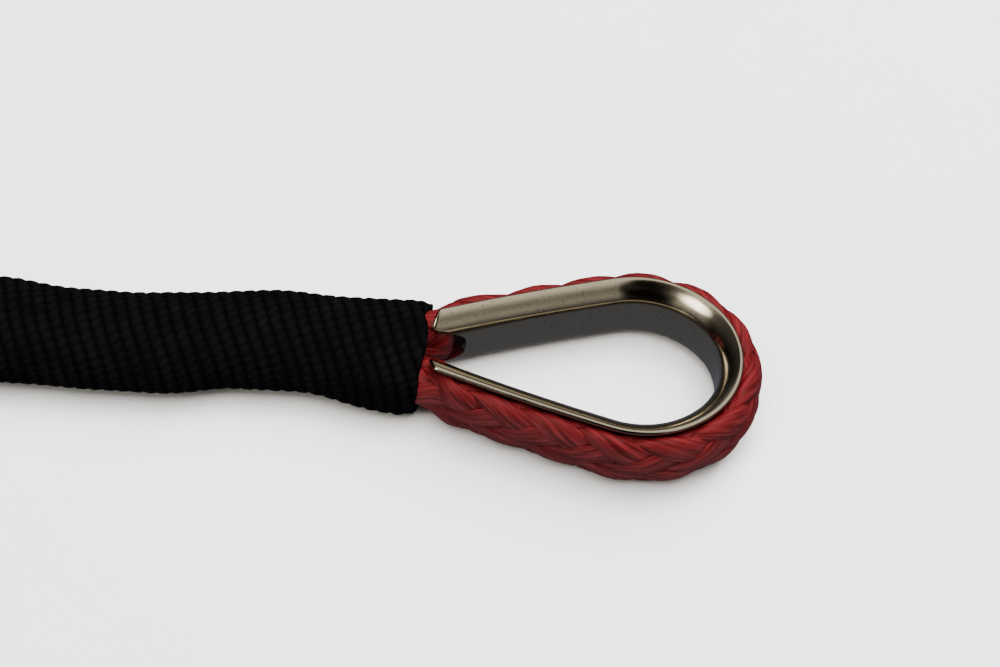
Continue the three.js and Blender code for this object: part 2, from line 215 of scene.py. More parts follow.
def add(tree, kind, inputs=(), **settings):
    """Adds a node. inputs maps a socket's name or number to a value or to another node's output."""
    made = tree.nodes.new(kind)
    for name, value in settings.items():
        setattr(made, name, value)
    for socket, value in dict(inputs).items():
        if isinstance(value, bpy.types.NodeSocket):
            tree.links.new(value, made.inputs[socket])
        else:
            made.inputs[socket].default_value = value
    return made


def new_material(name):
    """An empty node material, and its node tree with an output."""
    material = bpy.data.materials.new(name)
    material.use_nodes = True
    material.node_tree.nodes.clear()
    return material, material.node_tree


def finish_material(tree, shader):
    add(tree, "ShaderNodeOutputMaterial", {"Surface": shader.outputs["BSDF"]})


HAZE_PATCH = 6 * MM
PIT = 0.6 * MM  # coarser than real pits, so that they show
STRAND_STREAK = 9 * MM
STREAKS_ROUND_STRAND = 26.0  # on a strand that is about 10 mm round, so 0.4 mm each
STREAKS_ACROSS_FLOAT = 9.0
STREAKS_A_CROSSING = 0.9
SLEEVE_FIBRE = 0.5 * MM
# Size of the patches in the sleeve's painted highlight.
SLEEVE_HIGHLIGHT_PATCH = 7 * MM


def stainless_steel():
    """Polished AISI 304 strip, pressed and tumbled: a warm grey mirror, a little blurred, with fine
    pits and polishing haze that break its reflections up."""
    material, tree = new_material("polished_stainless_steel")
    place = add(tree, "ShaderNodeTexCoord").outputs["Object"]
    haze = add(tree, "ShaderNodeTexNoise", {"Vector": place, "Scale": 1 / HAZE_PATCH, "Detail": 3.0})
    pits = add(tree, "ShaderNodeTexNoise", {"Vector": place, "Scale": 1 / PIT, "Detail": 2.0})
    pitted = add(
        tree,
        "ShaderNodeMapRange",
        {"Value": pits.outputs["Fac"], "From Min": 0.6, "From Max": 0.72},
    )
    base = add(
        tree,
        "ShaderNodeMix",
        {0: pitted.outputs["Result"], 6: colour("#c6bdaa"), 7: colour("#a79e90")},
        data_type="RGBA",
    )
    rough = add(
        tree,
        "ShaderNodeMapRange",
        {
            "Value": haze.outputs["Fac"],
            "From Min": 0.3,
            "From Max": 0.7,
            "To Min": 0.1,
            "To Max": 0.19,
        },
    )
    bump = add(
        tree,
        "ShaderNodeBump",
        {"Height": pits.outputs["Fac"], "Strength": 0.08, "Distance": 0.02 * MM},
    )
    shader = add(
        tree,
        "ShaderNodeBsdfPrincipled",
        {
            "Base Color": base.outputs[2],
            "Metallic": 1.0,
            "Roughness": rough.outputs["Result"],
            "Normal": bump.outputs["Normal"],
        },
    )
    finish_material(tree, shader)
    return material


def red_strand():
    """One strand of coated HMPE rope: parallel filaments give long satin streaks along it, and a
    painted highlight mixes pink into the colour along the streaks; the edges that tuck under the next
    strand stay dark."""
    material, tree = new_material("red_coated_hmpe_strand")
    uv = add(tree, "ShaderNodeUVMap", uv_map="weave").outputs["UV"]
    # u is metres along the strand and v turns round it.
    stretched = add(
        tree,
        "ShaderNodeMapping",
        {"Vector": uv, "Scale": (1 / STRAND_STREAK, STREAKS_ROUND_STRAND, 1.0)},
    ).outputs["Vector"]
    streak = add(tree, "ShaderNodeTexNoise", {"Vector": stretched, "Scale": 1.0, "Detail": 4.0})
    place = add(tree, "ShaderNodeTexCoord").outputs["Object"]
    patch = add(
        tree,
        "ShaderNodeTexNoise",
        {"Vector": place, "Scale": 1 / STRAND_STREAK, "Detail": 2.0},
    )
    painted_highlight_share = add(
        tree,
        "ShaderNodeMapRange",
        {"Value": streak.outputs["Fac"], "From Min": 0.35, "From Max": 0.78},
    )
    body = add(
        tree,
        "ShaderNodeMix",
        {0: patch.outputs["Fac"], 6: colour("#300204"), 7: colour("#3c0406")},
        data_type="RGBA",
    )
    # Painted highlight: pink is mixed into the colour where the streak noise is high, standing in for
    # the satin sheen.
    painted_highlight = add(
        tree,
        "ShaderNodeMix",
        {0: painted_highlight_share.outputs["Result"], 6: body.outputs[2], 7: colour("#68191e")},
        data_type="RGBA",
    )
    rough = add(
        tree,
        "ShaderNodeMapRange",
        {
            "Value": streak.outputs["Fac"],
            "From Min": 0.3,
            "From Max": 0.7,
            "To Min": 0.42,
            "To Max": 0.6,
        },
    )
    bump = add(
        tree,
        "ShaderNodeBump",
        {"Height": streak.outputs["Fac"], "Strength": 0.6, "Distance": 0.25 * MM},
    )
    shader = add(
        tree,
        "ShaderNodeBsdfPrincipled",
        {
            "Base Color": painted_highlight.outputs[2],
            "Roughness": rough.outputs["Result"],
            "Specular IOR Level": 0.22,
            "Normal": bump.outputs["Normal"],
        },
    )
    finish_material(tree, shader)
    return material


def red_braid():
    """Twelve-strand braid of coated HMPE: the strands of either hand pass over and under each other.
    Its satin on top is a painted highlight, pink along streaks, and its seams are darkened by painted
    shade. u is metres along the rope and v turns round it."""
    material, tree = new_material("red_coated_hmpe_braid")
    uv = add(tree, "ShaderNodeUVMap", uv_map="weave").outputs["UV"]
    axes = add(tree, "ShaderNodeSeparateXYZ", {0: uv}).outputs
    turned = add(
        tree,
        "ShaderNodeMath",
        {0: axes["X"], 1: STRANDS_PER_HAND / BRAID_PITCH},
        operation="MULTIPLY",
    ).outputs[0]
    around = add(
        tree, "ShaderNodeMath", {0: axes["Y"], 1: STRANDS_PER_HAND}, operation="MULTIPLY"
    ).outputs[0]
    hand_s = add(tree, "ShaderNodeMath", {0: around, 1: turned}, operation="SUBTRACT").outputs[0]
    hand_z = add(tree, "ShaderNodeMath", {0: around, 1: turned}, operation="ADD").outputs[0]
    heights = []
    for own, other, phase in [(hand_s, hand_z, 0.0), (hand_z, hand_s, math.pi)]:
        middle = add(tree, "ShaderNodeMath", {0: own}, operation="ROUND").outputs[0]
        aside = add(tree, "ShaderNodeMath", {0: own, 1: middle}, operation="SUBTRACT").outputs[0]
        square = add(tree, "ShaderNodeMath", {0: aside, 1: aside}, operation="MULTIPLY").outputs[0]
        inside = add(
            tree, "ShaderNodeMath", {0: square, 1: -4.0, 2: 1.0}, operation="MULTIPLY_ADD"
        ).outputs[0]
        crown = add(tree, "ShaderNodeMath", {0: inside, 1: 0.5}, operation="POWER").outputs[0]
        crossing = add(tree, "ShaderNodeMath", {0: middle, 1: other}, operation="ADD").outputs[0]
        swing = add(
            tree,
            "ShaderNodeMath",
            {0: crossing, 1: RIGHT_ANGLE, 2: phase - RIGHT_ANGLE / 2},
            operation="MULTIPLY_ADD",
        ).outputs[0]
        lift = add(tree, "ShaderNodeMath", {0: swing}, operation="COSINE").outputs[0]
        raised = add(tree, "ShaderNodeMath", {0: lift, 1: 0.8, 2: crown}, operation="MULTIPLY_ADD")
        heights.append(raised.outputs[0])
    height = add(
        tree, "ShaderNodeMath", {0: heights[0], 1: heights[1]}, operation="MAXIMUM"
    ).outputs[0]
    on_top = add(
        tree, "ShaderNodeMath", {0: heights[0], 1: heights[1]}, operation="GREATER_THAN"
    ).outputs[0]
    # The streaks follow the strand that is on top: fine across it, and about one for each crossing
    # along it.
    streaks = []
    for across, along in [(hand_s, hand_z), (hand_z, hand_s)]:
        fine = add(
            tree, "ShaderNodeMath", {0: across, 1: STREAKS_ACROSS_FLOAT}, operation="MULTIPLY"
        ).outputs[0]
        coarse = add(
            tree, "ShaderNodeMath", {0: along, 1: STREAKS_A_CROSSING}, operation="MULTIPLY"
        ).outputs[0]
        placed = add(tree, "ShaderNodeCombineXYZ", {0: fine, 1: coarse}).outputs[0]
        noise = add(tree, "ShaderNodeTexNoise", {"Vector": placed, "Scale": 1.0, "Detail": 3.0})
        streaks.append(noise.outputs["Fac"])
    streak = add(
        tree, "ShaderNodeMix", {0: on_top, 2: streaks[1], 3: streaks[0]}, data_type="FLOAT"
    ).outputs[0]
    # Painted shade: where the braid is low, in its seams, the colour is darkened towards a near black
    # red.
    seam = add(tree, "ShaderNodeMapRange", {"Value": height, "From Min": 0.35, "From Max": 0.95})
    painted_highlight_share = add(
        tree, "ShaderNodeMapRange", {"Value": streak, "From Min": 0.4, "From Max": 0.68}
    )
    # Painted highlight: pink is mixed into the colour along the streaks, standing in for the satin
    # sheen.
    painted_highlight = add(
        tree,
        "ShaderNodeMix",
        {0: painted_highlight_share.outputs["Result"], 6: colour("#350305"), 7: colour("#5c1519")},
        data_type="RGBA",
    )
    with_painted_shade = add(
        tree,
        "ShaderNodeMix",
        {0: seam.outputs["Result"], 6: colour("#1a0203"), 7: painted_highlight.outputs[2]},
        data_type="RGBA",
    )
    relief = add(
        tree, "ShaderNodeMath", {0: streak, 1: 0.35, 2: height}, operation="MULTIPLY_ADD"
    ).outputs[0]
    bump = add(tree, "ShaderNodeBump", {"Height": relief, "Strength": 0.7, "Distance": 0.6 * MM})
    shader = add(
        tree,
        "ShaderNodeBsdfPrincipled",
        {
            "Base Color": with_painted_shade.outputs[2],
            "Roughness": 0.5,
            "Specular IOR Level": 0.22,
            "Normal": bump.outputs["Normal"],
        },
    )
    finish_material(tree, shader)
    return material


def black_weave():
    """Tubular sleeve woven from black spun polyester: nearly black and dull, with a fibrous surface,
    and a painted highlight makes the crown of each yarn a little lighter in patches."""
    material, tree = new_material("black_woven_polyester")
    facing = add(tree, "ShaderNodeAttribute", attribute_name="facing").outputs["Fac"]
    place = add(tree, "ShaderNodeTexCoord").outputs["Object"]
    fibre = add(
        tree, "ShaderNodeTexNoise", {"Vector": place, "Scale": 1 / SLEEVE_FIBRE, "Detail": 3.0}
    )
    # Painted highlight: the crowns of the weave are mixed towards a lighter grey, in patches given by
    # this noise.
    highlight_patches = add(
        tree, "ShaderNodeTexNoise", {"Vector": place, "Scale": 1 / SLEEVE_HIGHLIGHT_PATCH, "Detail": 2.0}
    )
    crown = add(tree, "ShaderNodeMapRange", {"Value": facing, "From Min": 0.45, "From Max": 1.0})
    painted_highlight = add(
        tree,
        "ShaderNodeMath",
        {0: crown.outputs["Result"], 1: highlight_patches.outputs["Fac"]},
        operation="MULTIPLY",
    ).outputs[0]
    base = add(
        tree,
        "ShaderNodeMix",
        {0: painted_highlight, 6: colour("#010102"), 7: colour("#0c0c0d")},
        data_type="RGBA",
    )
    bump = add(
        tree,
        "ShaderNodeBump",
        {"Height": fibre.outputs["Fac"], "Strength": 0.6, "Distance": 0.2 * MM},
    )
    shader = add(
        tree,
        "ShaderNodeBsdfPrincipled",
        {
            "Base Color": base.outputs[2],
            "Roughness": 0.8,
            "Specular IOR Level": 0.06,
            "Normal": bump.outputs["Normal"],
        },
    )
    finish_material(tree, shader)
    return material


def plain_material(name, dark, light, grain, roughness, metallic=0.0, relief=0.1 * MM):
    """A finish with a grain of the given size: its colour goes between two shades, and its surface
    rises and falls by the relief."""
    material, tree = new_material(name)
    place = add(tree, "ShaderNodeTexCoord").outputs["Object"]
    noise = add(tree, "ShaderNodeTexNoise", {"Vector": place, "Scale": 1 / grain, "Detail": 3.0})
    base = add(
        tree,
        "ShaderNodeMix",
        {0: noise.outputs["Fac"], 6: colour(dark), 7: colour(light)},
        data_type="RGBA",
    )
    bump = add(
        tree,
        "ShaderNodeBump",
        {"Height": noise.outputs["Fac"], "Strength": 0.4, "Distance": relief},
    )
    shader = add(
        tree,
        "ShaderNodeBsdfPrincipled",
        {
            "Base Color": base.outputs[2],
            "Roughness": roughness,
            "Metallic": metallic,
            "Normal": bump.outputs["Normal"],
        },
    )
    finish_material(tree, shader)
    return material


# ---- Stage ----

CAMERA_AIM = Vector((EYE_X - 29.7 * MM, 8.3 * MM, RIM_HEIGHT))
CAMERA_DISTANCE = 473.4 * MM
CAMERA_ELEVATION = math.radians(55.7)
CAMERA_AZIMUTH = math.radians(-0.64)
CAMERA_ROLL = math.radians(4.66)
CAMERA_LENS = 79.3  # in millimetres, as is the sensor
SENSOR_WIDTH = 36
FLOOR_HALF = 3.0
LAMP_AIM = Vector((EYE_X - 40 * MM, 0, 0))


def make_camera():
    """A camera at a distance from its aim, raised, turned about Z and then rolled."""
    data = bpy.data.cameras.new("camera")
    data.lens = CAMERA_LENS
    data.sensor_width = SENSOR_WIDTH
    camera = bpy.data.objects.new("camera", data)
    turn = Matrix.Rotation(CAMERA_AZIMUTH, 4, "Z")
    raised = Matrix.Rotation(RIGHT_ANGLE - CAMERA_ELEVATION, 4, "X")
    facing = turn @ raised @ Matrix.Rotation(CAMERA_ROLL, 4, "Z")
    back = facing @ Vector((0, 0, CAMERA_DISTANCE))
    camera.matrix_world = Matrix.Translation(CAMERA_AIM + back) @ facing
    bpy.context.scene.collection.objects.link(camera)
    bpy.context.scene.camera = camera


def make_floor():
    """A wide floor of matt white paper, even and without gloss. It isn't seen in reflections, so
    the steel mirrors the studio and not the floor."""
    near, far = -FLOOR_HALF, FLOOR_HALF
    corners = [(near, near, 0), (far, near, 0), (far, far, 0), (near, far, 0)]
    mesh = bpy.data.meshes.new("floor")
    mesh.from_pydata(corners, [], [(0, 1, 2, 3)])
    paper = plain_material("matt_white_paper", "#f4f4f4", "#f8f8f8", 20 * MM, 0.9, relief=0.0)
    mesh.materials.append(paper)
    floor = bpy.data.objects.new("floor", mesh)
    floor.visible_glossy = False
    bpy.context.scene.collection.objects.link(floor)


# The studio as the steel sees it: brightness of its ceiling, of its walls at the horizon and of the
# ground, and its patches as (azimuth from -Y towards +X, elevation, half width, change of brightness).
STUDIO_TOP = 1.0
STUDIO_LOW = 0.04
STUDIO_BELOW = 0.085
STUDIO_PATCHES = [
    (-2, 44, 26, -0.97),
    (-2, 22, 24, -0.9),
    (-14, 63, 17, -0.95),
    (-55, 44, 12, 9.0),
    (-108, 24, 38, -0.93),
]


def direction(azimuth, elevation):
    """Unit vector towards an azimuth from -Y towards +X and an elevation, both in degrees."""
    turn, rise = math.radians(azimuth), math.radians(elevation)
    return (math.sin(turn) * math.cos(rise), -math.cos(turn) * math.cos(rise), math.sin(rise))


def make_studio():
    """A soft warm ceiling over walls that darken to the horizon, and dim cool ground. Each patch of
    the walls is lighter or darker than the rest: its change fades out by a smooth step of the cosine
    of the angle from its middle, from a quarter inside its half width to a quarter outside."""
    world = bpy.data.worlds.new("studio")
    world.use_nodes = True
    tree = world.node_tree
    tree.nodes.clear()
    towards = add(tree, "ShaderNodeTexCoord").outputs["Generated"]
    height = add(tree, "ShaderNodeSeparateXYZ", {0: towards}).outputs["Z"]
    walls = add(
        tree,
        "ShaderNodeMapRange",
        {
            "Value": height,
            "From Min": 0.1,
            "From Max": 0.85,
            "To Min": STUDIO_LOW,
            "To Max": STUDIO_TOP,
        },
        interpolation_type="SMOOTHSTEP",
    ).outputs["Result"]
    ground = add(
        tree,
        "ShaderNodeMapRange",
        {
            "Value": height,
            "From Min": -0.5,
            "From Max": -0.15,
            "To Min": STUDIO_BELOW,
            "To Max": 0.0,
        },
        interpolation_type="SMOOTHSTEP",
    ).outputs["Result"]
    level = add(tree, "ShaderNodeMath", {0: walls, 1: ground}, operation="ADD").outputs[0]
    for azimuth, elevation, width, change in STUDIO_PATCHES:
        near = add(
            tree,
            "ShaderNodeVectorMath",
            {0: towards, 1: direction(azimuth, elevation)},
            operation="DOT_PRODUCT",
        ).outputs["Value"]
        share = add(
            tree,
            "ShaderNodeMapRange",
            {
                "Value": near,
                "From Min": math.cos(math.radians(width * 1.25)),
                "From Max": math.cos(math.radians(width * 0.75)),
                "To Min": 1.0,
                "To Max": 1.0 + change,
            },
            interpolation_type="SMOOTHSTEP",
        ).outputs["Result"]
        level = add(tree, "ShaderNodeMath", {0: level, 1: share}, operation="MULTIPLY").outputs[0]
    skyward = add(tree, "ShaderNodeMapRange", {"Value": height, "From Min": -0.2, "From Max": 0.4})
    tint = add(
        tree,
        "ShaderNodeMix",
        {0: skyward.outputs["Result"], 6: colour("#e4eaff"), 7: colour("#fff8ea")},
        data_type="RGBA",
    )
    background = add(tree, "ShaderNodeBackground", {"Color": tint.outputs[2], "Strength": level})
    add(tree, "ShaderNodeOutputWorld", {"Surface": background.outputs[0]})
    bpy.context.scene.world = world


def make_lamp(name, azimuth, elevation, distance, size, power):
    """A square soft box that faces the eye, its size and distance in metres and its power in
    watts. It isn't seen in reflections."""
    data = bpy.data.lights.new(name, "AREA")
    data.size = size
    data.energy = power
    lamp = bpy.data.objects.new(name, data)
    away = Vector(direction(azimuth, elevation))
    lamp.location = LAMP_AIM + away * distance
    lamp.rotation_mode = "QUATERNION"
    lamp.rotation_quaternion = away.to_track_quat("Z", "Y")
    lamp.visible_glossy = False
    bpy.context.scene.collection.objects.link(lamp)


make_camera()
make_floor()
make_studio()
make_lamp("key_soft_box", azimuth=150, elevation=55, distance=1.2, size=0.9, power=30)
make_lamp("top_soft_box", azimuth=0, elevation=88, distance=1.4, size=1.2, power=40)

# ---- The free rope and its hank ----

RED_BRAID = red_braid()
HANK_COLUMNS = 3
HANK_ROWS = 9
OUTER_BEND = (HANK_HIGH.y - HANK_LOW.y) / 2
HANK_NEAR = HANK_HIGH.x - OUTER_BEND  # centres of the two round ends, along X
HANK_FAR = HANK_LOW.x + OUTER_BEND
HANK_RUN = HANK_NEAR - HANK_FAR
HANK_SIDE = (HANK_LOW.y + HANK_HIGH.y) / 2
LAST_TURN = HANK_COLUMNS * HANK_ROWS - 1
# A turn's phase goes from 0 to 4: its outer run, the far end, the other run and the near end.
# A column's turns change their row in one stretch, and go over to the next column in another.
ROW_CHANGE = [(2.55, 3.05), (1.5, 2.0), (0.4, 0.9)]
COLUMN_CHANGE = [(2.05, 2.5), (1.0, 1.45)]
CLIMB = (3.31, 4.0)  # where the last turn comes up on top of the hank
LEAVE = 5 * MM  # straight stretch behind the splice
APPROACH = 57 * MM  # length over which the rope moves across to the hank's outer side
END_SHIFT = 43 * MM  # length over which the end moves over the middle of its run
END_STRAIGHT = 49.7 * MM  # from there into the lug's barrel
ON_TOP = 0.3 * MM
LUG_RADIUS = 6.8 * MM
FINE_STEP = 2.4 * MM  # along the rope where it shows
COARSE_STEP = 9.5 * MM
ROPE_COLUMNS = 20


def turn_slot(turn):
    """Radius and height of a turn: the columns fill from the outside in, up one, down the next."""
    column, row = divmod(turn, HANK_ROWS)
    row = row if column % 2 == 0 else HANK_ROWS - 1 - row
    return OUTER_BEND - ROPE / 2 - ROPE * column, HANK_LOW.z + ROPE / 2 + ROPE * row


def hank_place(phase):
    """Points of the hank at phases counted on from turn to turn, four for each.

    A turn runs straight along X and round both ends, clockwise. Its radius and height go from each
    slot to the next by a smooth step, and the last turn's climb and its end add theirs.
    """
    radius, height = (np.full(phase.shape, value) for value in turn_slot(0))
    for turn in range(LAST_TURN):
        column, row = divmod(turn, HANK_ROWS)
        change = (ROW_CHANGE if row < HANK_ROWS - 1 else COLUMN_CHANGE)[column]
        moved = ease(phase, 4 * turn + change[0], 4 * turn + change[1])
        radius = radius + moved * (turn_slot(turn + 1)[0] - turn_slot(turn)[0])
        height = height + moved * (turn_slot(turn + 1)[1] - turn_slot(turn)[1])
    height = height + (ROPE + ON_TOP) * ease(phase - 4 * LAST_TURN + 4, *CLIMB)
    shifted = ease(phase - 4 * LAST_TURN, 0, END_SHIFT / HANK_RUN)
    radius = radius + ROPE * shifted
    height = height + (LUG_RADIUS - ROPE / 2) * shifted
    within = phase % 4
    angle = -RIGHT_ANGLE - math.pi * (np.clip(within - 1, 0, 1) + np.clip(within - 3, 0, 1))
    middle = HANK_NEAR - HANK_RUN * (np.clip(within, 0, 1) - np.clip(within - 2, 0, 1))
    return np.stack([middle + radius * np.cos(angle), HANK_SIDE + radius * np.sin(angle), height], -1)


def rope_route(fine, coarse):
    """Centreline of the free rope: back from the splice and across to the hank's outer side, round
    the hank, and straight into the lug. Steps are fine where the rope shows and coarse inside the
    hank."""
    meet = hank_place(np.array([0.0]))[0]
    x = np.linspace(SPLICE_LOW.x, meet[0], int((SPLICE_LOW.x - meet[0]) / fine) + 1)[:-1]
    moved = ease(SPLICE_LOW.x - x, LEAVE, LEAVE + APPROACH)
    parts = [np.stack([x, meet[1] * moved, mix(AXIS_Z, meet[2], moved)], -1)]
    for turn in range(LAST_TURN):
        column, row = divmod(turn, HANK_ROWS)
        step = coarse if 0 < column < HANK_COLUMNS - 1 and row > 0 else fine
        bend = math.pi * turn_slot(turn)[0]
        for quarter, length in enumerate([HANK_RUN, bend, HANK_RUN, bend]):
            count = math.ceil(length / step)
            parts.append(hank_place(4 * turn + quarter + np.arange(count) / count))
    until = (END_SHIFT + END_STRAIGHT) / HANK_RUN
    parts.append(hank_place(4 * LAST_TURN + np.linspace(0, until, int(until * HANK_RUN / fine))))
    return np.concatenate(parts)


BRAID_LIFT = 0.45 * MM  # how far a strand rides up and down
BRAID_CROWN = 0.6 * MM
BRAID_SUNK = 0.75 * MM  # from the rope's full size to the braid's middle surface


def braid_relief(along, around, lift, thickness):
    """Height of a two-over, two-under braid over its middle surface, where along is in metres and
    around in turns. Each strand has an elliptic crown, rides up and down as a cosine of the
    crossings it passes, and the higher of the two hands shows."""
    turned = STRANDS_PER_HAND * along / BRAID_PITCH
    hands = [STRANDS_PER_HAND * around - turned, STRANDS_PER_HAND * around + turned]
    heights = []
    for own, other, sign in [(hands[0], hands[1], 1), (hands[1], hands[0], -1)]:
        middle = np.round(own)
        crown = np.sqrt(np.clip(1 - 4 * (own - middle) ** 2, 0, 1))
        swing = np.cos(RIGHT_ANGLE * (middle + other - 0.5))
        heights.append(sign * lift * swing + thickness * crown)
    return np.maximum(*heights)


def braided_tube(name, centre, along, half, columns, relief=1.0):
    """A braided rope along a centreline: an ellipse at each place, with half axes sideways and
    upwards, raised by the braid. along is the braid's own length at each place, in metres, and
    relief scales the braid's height."""
    ahead = np.gradient(centre, axis=0)
    ahead /= np.linalg.norm(ahead, axis=1, keepdims=True)
    sideways = np.cross([0, 0, 1.0], ahead)
    sideways /= np.linalg.norm(sideways, axis=1, keepdims=True)
    upwards = np.cross(ahead, sideways)
    around = np.arange(columns + 1) / columns
    length = np.broadcast_to(along[:, None], (len(along), columns + 1))
    uv = np.stack([length, np.broadcast_to(around, length.shape)], -1)
    angle = 2 * math.pi * around[:-1]
    lift, thickness, sunk = (size * relief for size in (BRAID_LIFT, BRAID_CROWN, BRAID_SUNK))
    height = braid_relief(along[:, None], around[None, :-1], lift, thickness) - sunk
    out = (half[:, :1] + height) * np.cos(angle)
    up = (half[:, 1:] + height) * np.sin(angle)
    points = centre[:, None] + sideways[:, None] * out[..., None] + upwards[:, None] * up[..., None]
    return surface(name, points, RED_BRAID, uv)


def make_free_rope():
    """The free rope as one mesh, laid from its end to the splice so that its braid goes on from the
    splice's own. Gives the piece, its path and its length."""
    route = rope_route(FINE_STEP, COARSE_STEP)
    steps = np.linalg.norm(np.diff(route, axis=0), axis=1)
    covered = np.concatenate([[0], np.cumsum(steps)])
    half = np.full((len(route), 2), ROPE / 2)
    rope = braided_tube("free_rope_braid", route[::-1], -covered[::-1], half, ROPE_COLUMNS)
    stand_for(rope, "rope_eye", "red_rope", "free_rope", "rope_hank", "rope_end")
    path = rope_route(COARSE_STEP, COARSE_STEP)
    length = np.linalg.norm(np.diff(path, axis=0), axis=1).sum()
    return rope, path, length


free_rope, free_rope_path, free_rope_length = make_free_rope()

# ---- The splice, its tail and its whipping ----

SPLICE_FRONT_HALF = (8.6 * MM, 4.9 * MM)  # half axes of its oval at the throat
SPLICE_ROUND_HALF = 5.3 * MM
SPLICE_ROWS, SPLICE_COLUMNS = 380, 96
TAIL_RADII = (3.0 * MM, 1.3 * MM)  # at its start and at its end
TAIL_INSET = 3.2 * MM  # from the side of its box to the middle of its start
TAIL_ROWS, TAIL_COLUMNS = 90, 24
TAIL_RELIEF = 0.4  # its strands are thinner, so the braid is flatter
TWINE_RADIUS = 0.42 * MM
WHIPPING_TURNS = 9
WHIPPING_INSET = 1.2 * MM  # it lies closer to the legs than its box


def make_splice():
    """The rope's own braid, swollen over the buried tail: a flat oval at the throat, round behind
    it, and back to the rope's size at its end."""
    length = SPLICE_HIGH.x - SPLICE_LOW.x
    x = np.linspace(SPLICE_LOW.x, SPLICE_HIGH.x, SPLICE_ROWS)
    share = (SPLICE_HIGH.x - x) / length
    round_half = mix(SPLICE_ROUND_HALF, ROPE / 2, ease(share, 0.3, 0.85))
    flat = 1 - ease(share, 0, 0.22)
    half = np.stack([mix(round_half, front, flat) for front in SPLICE_FRONT_HALF], -1)
    centre = np.stack([x, THROAT_ASIDE * flat, np.full_like(x, AXIS_Z)], -1)
    splice = braided_tube("splice_braid", centre, x - SPLICE_LOW.x, half, SPLICE_COLUMNS)
    stand_for(splice, "rope_eye", "red_rope", "splice_outer_braid")


def make_buried_tail():
    """The rope's tail inside the splice: it starts beside the axis, goes over to it and thins
    towards its end."""
    x = np.linspace(TAIL_LOW.x, TAIL_HIGH.x, TAIL_ROWS)
    share = (TAIL_HIGH.x - x) / (TAIL_HIGH.x - TAIL_LOW.x)
    radius = mix(*TAIL_RADII, ease(share, 0.2, 1))
    y = (TAIL_HIGH.y - TAIL_INSET) * (1 - ease(share, 0, 0.25))
    centre = np.stack([x, y, np.full_like(x, AXIS_Z)], -1)
    half = np.stack([radius, radius], -1)
    tail = braided_tube("buried_tail_braid", centre, x, half, TAIL_COLUMNS, TAIL_RELIEF)
    stand_for(tail, "rope_eye", "red_rope", "buried_tail")


def tube(name, centre, sideways, upwards, radius, columns, material):
    """A round tube along a centreline, with its section between two crosswise directions."""
    angle = 2 * math.pi * np.arange(columns) / columns
    section = sideways[:, None] * np.cos(angle)[:, None] + upwards[:, None] * np.sin(angle)[:, None]
    points = centre[:, None] + section * np.broadcast_to(radius, len(centre))[:, None, None]
    return surface(name, points, material)


def make_whipping():
    """Waxed twine wound tight round both legs: a helix over the throat's oval. The wax makes the
    dark red brown twine a little shiny."""
    twine = TWINE_RADIUS
    angle = np.linspace(0, 2 * math.pi * WHIPPING_TURNS, WHIPPING_TURNS * 72)
    width = WHIPPING_HIGH.x - WHIPPING_LOW.x - 2 * twine
    half_y = WHIPPING_HIGH.y - WHIPPING_INSET - twine
    half_z = (WHIPPING_HIGH.z - WHIPPING_LOW.z) / 2 - twine
    x = WHIPPING_HIGH.x - twine - width * angle / angle[-1]
    y = THROAT_ASIDE + half_y * np.cos(angle)
    z = (WHIPPING_LOW.z + WHIPPING_HIGH.z) / 2 + half_z * np.sin(angle)
    centre = np.stack([x, y, z], -1)
    ahead = np.gradient(centre, axis=0)
    ahead /= np.linalg.norm(ahead, axis=1, keepdims=True)
    outward = np.stack([np.zeros_like(x), np.cos(angle) / half_y, np.sin(angle) / half_z], -1)
    outward /= np.linalg.norm(outward, axis=1, keepdims=True)
    look = plain_material("waxed_polyester_twine", "#150b0b", "#33201f", 0.6 * MM, 0.55)
    whipping = tube("whipping_turns", centre, outward, np.cross(ahead, outward), twine, 10, look)
    stand_for(whipping, "rope_eye", "whipping_twine", "throat_whipping")


make_splice()
make_buried_tail()
make_whipping()

# ---- The eye's twelve strands ----

LEG_LENGTH = chain_length(LEG_LINE, EYE_OFFSET)
ARM_LENGTH = chain_length(BORE_LINE, EYE_OFFSET)  # of the part that lies in the thimble
LEG_INTO_SPLICE = 4 * MM
OVAL_LENGTH = 24.1 * MM  # round the oval that the strands weave about
STRAND_ROWS = 430
STRAND_COLUMNS = 48
YARNS = 11  # ridges round a strand
YARN_TWIST = 5 * MM
# Round the crown the rope is wider, which fades over this stretch from the tip.
CROWN_WIDER = 0.35 * MM
CROWN_STRETCH = (12 * MM, 34 * MM)
# Stretches of a leg, counted backwards from the end of the thimble's arm. Over the first the groove's
# oval becomes the throat's, and over the next two the legs spread in towards each other and draw
# back again. Then the leg at +Y stands out where it leaves the thimble, and last both go aside.
NARROWING = (-8 * MM, 10 * MM)
LEG_SPREAD = 1.8 * MM
SPREAD_RISE = (-8 * MM, -3 * MM)
SPREAD_FALL = (2 * MM, 13 * MM)
LEG_STANDS_OUT = 0.9 * MM
OUT_RISE = (-16 * MM, -6 * MM)
OUT_FALL = (0, 8 * MM)
GOING_ASIDE = (2 * MM, 18 * MM)


